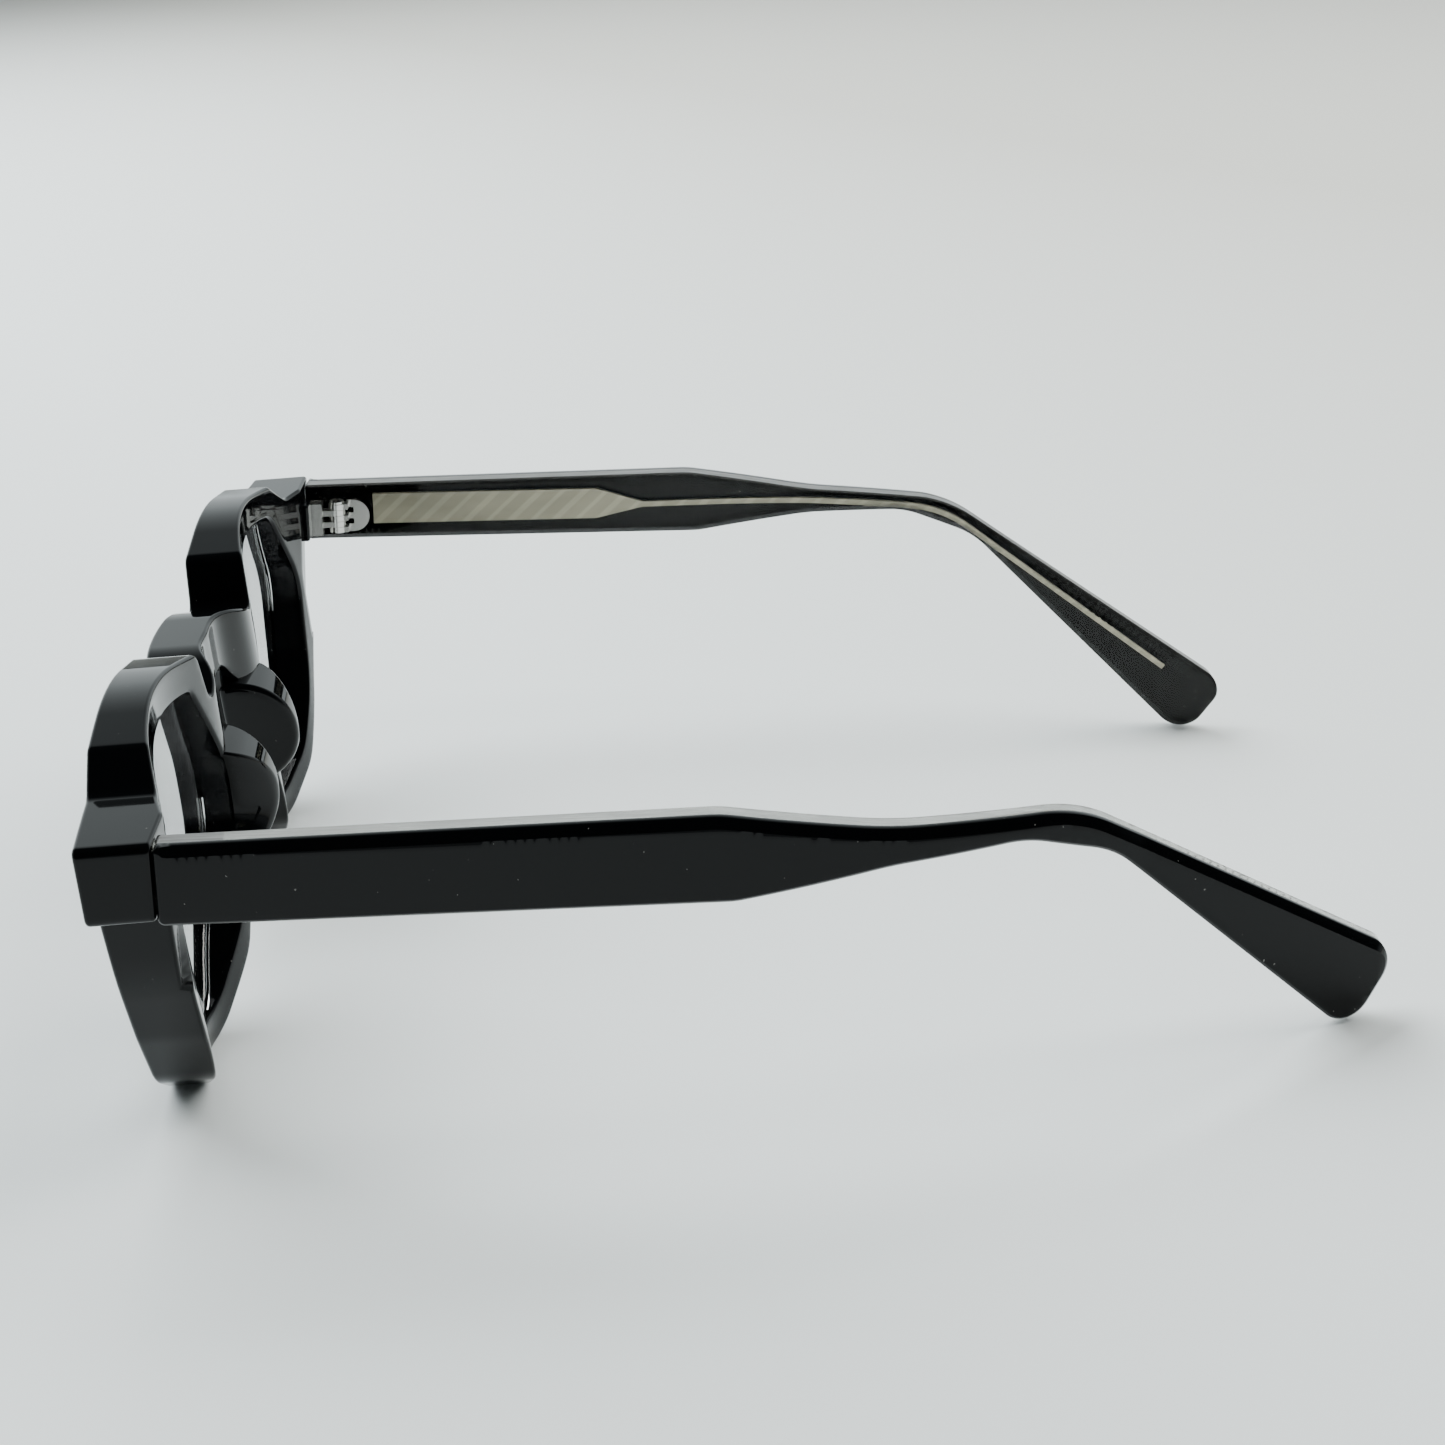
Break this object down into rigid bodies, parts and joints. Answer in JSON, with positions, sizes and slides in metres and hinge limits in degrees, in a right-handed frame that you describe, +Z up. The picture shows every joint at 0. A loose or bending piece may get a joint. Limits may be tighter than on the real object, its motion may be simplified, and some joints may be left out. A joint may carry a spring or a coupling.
{
  "type": "eyeglasses",
  "caption": "Open eyeglasses with a thick black acetate front, a stepped brow line, clear lenses, round nose pads and laminated folding temples with a metal core.",
  "frame": {"origin": "on the surface that the open glasses stand on, below the middle of their bounding box", "axes": "+X towards the wearer's left, +Y back from the front towards the ears, +Z up"},
  "size_m": [0.145, 0.1456, 0.0481],
  "materials": {
    "black_acetate": "polished black acetate",
    "pad_acetate": "polished black acetate",
    "black_acetate_layer": "polished black acetate",
    "clear_acetate_layer": "polished clear acetate",
    "clear_lens": "clear, polished",
    "core_metal": "warm satin nickel silver with engraved slanting bars",
    "hinge_steel": "satin nickel silver",
    "screw_steel": "bright"
  },
  "bodies": {
    "front": {"front_frame": "black_acetate", "left_lens": "clear_lens", "left_nose_pad": "pad_acetate", "left_front_hinge": "hinge_steel", "right_lens": "clear_lens", "right_nose_pad": "pad_acetate", "right_front_hinge": "hinge_steel"},
    "left_temple": {"left_temple_outer": "black_acetate_layer", "left_temple_inner": "clear_acetate_layer", "left_temple_core": "core_metal", "left_temple_hinge": "hinge_steel", "left_hinge_screw": "screw_steel"},
    "right_temple": {"right_temple_outer": "black_acetate_layer", "right_temple_inner": "clear_acetate_layer", "right_temple_core": "core_metal", "right_temple_hinge": "hinge_steel", "right_hinge_screw": "screw_steel"}
  },
  "joints": [
    {"name": "left_temple_fold", "type": "hinge", "parent": "front", "child": "left_temple", "pos_m": [0.0669, -0.05658, 0.03729], "axis": [0, 0.0637, 0.998], "range_deg": [0, 81.5]},
    {"name": "right_temple_fold", "type": "hinge", "parent": "front", "child": "right_temple", "pos_m": [-0.0669, -0.05658, 0.03729], "axis": [0, -0.0637, -0.998], "range_deg": [0, 72]}
  ]
}
